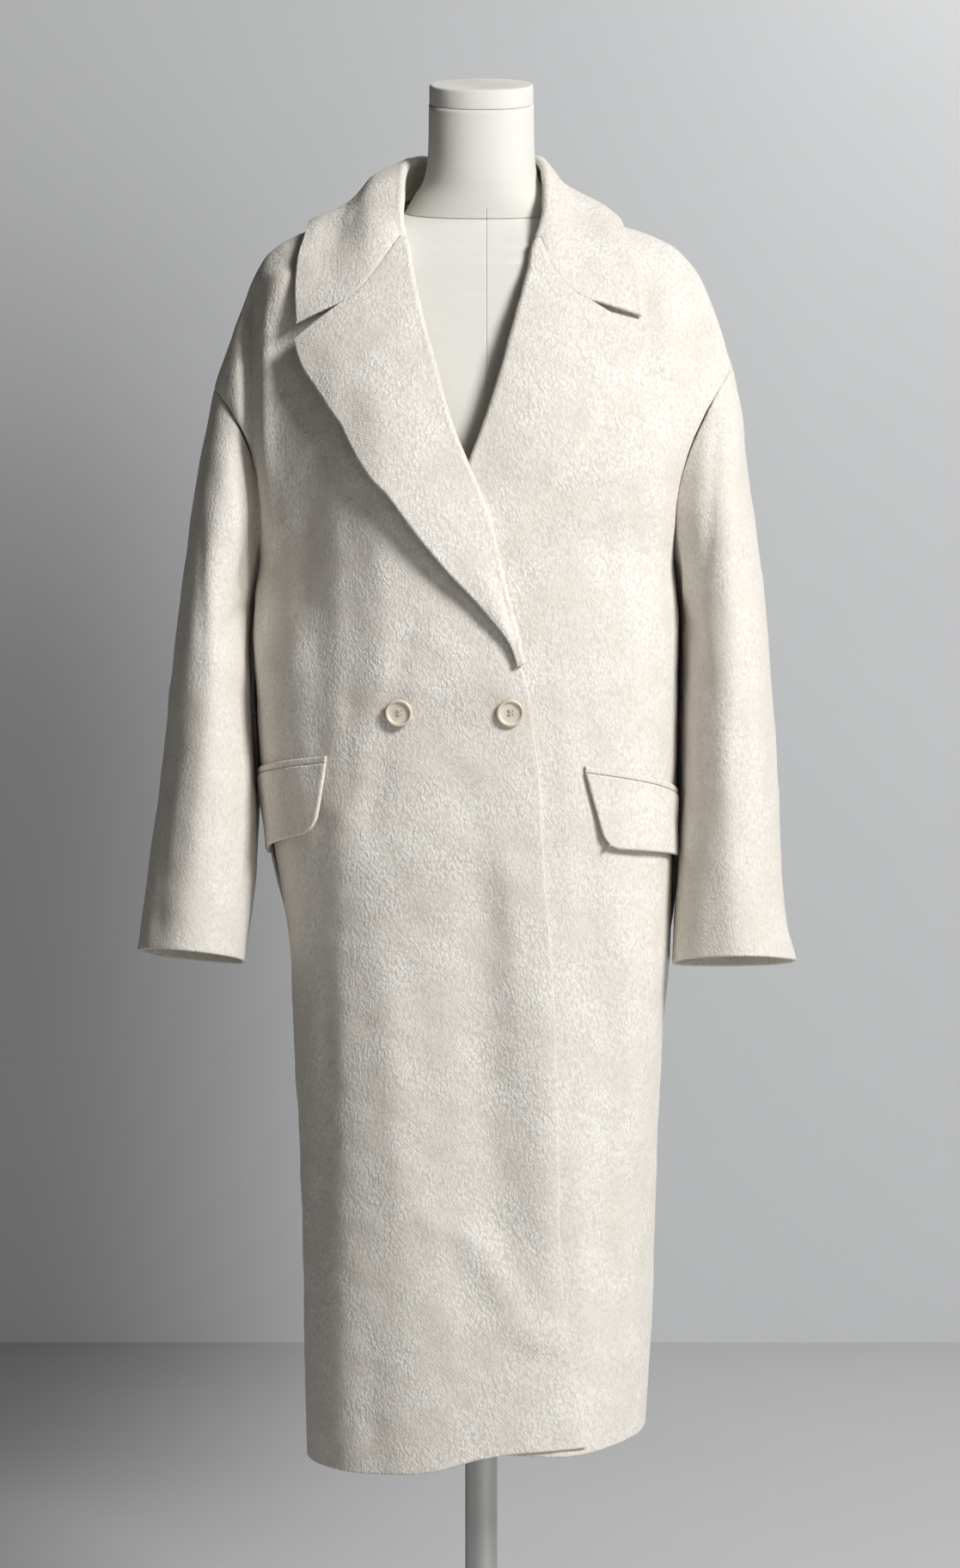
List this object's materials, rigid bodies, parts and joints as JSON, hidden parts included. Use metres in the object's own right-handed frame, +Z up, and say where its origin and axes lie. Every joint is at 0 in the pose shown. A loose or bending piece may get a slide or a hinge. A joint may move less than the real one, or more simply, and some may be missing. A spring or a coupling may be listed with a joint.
{
  "type": "long double-breasted wool coat on a dress form",
  "caption": "Long double-breasted wool coat with notched collar, wide lapels and flap pockets, hanging open at hem and cuffs on a limbless dress form with a pole and round base.",
  "frame": {"origin": "middle of the underside of the stand's round base, on the floor", "axes": "+Z up, the coat's front faces -Y, +X is the wearer's left"},
  "size_m": [0.607, 0.38, 1.5945],
  "materials": {
    "wool": "cream boucle wool, matt and slightly hairy",
    "wool_facing": "the same cream wool, two layers pressed together",
    "button": "ivory, satin",
    "linen": "white linen cover, plain weave",
    "stand_metal": "satin metal"
  },
  "bodies": {
    "root": {"front_right": "wool", "front_left": "wool", "back": "wool", "sleeve_right": "wool", "sleeve_left": "wool", "lapel_right": "wool_facing", "lapel_left": "wool_facing", "collar": "wool_facing", "flap_right": "wool_facing", "flap_left": "wool_facing", "welt_right": "wool_facing", "welt_left": "wool_facing", "button_middle": "button", "button_edge": "button", "form_torso": "linen", "form_neck": "linen", "form_cap": "linen", "stand_pole": "stand_metal", "stand_base": "stand_metal"}
  },
  "joints": []
}
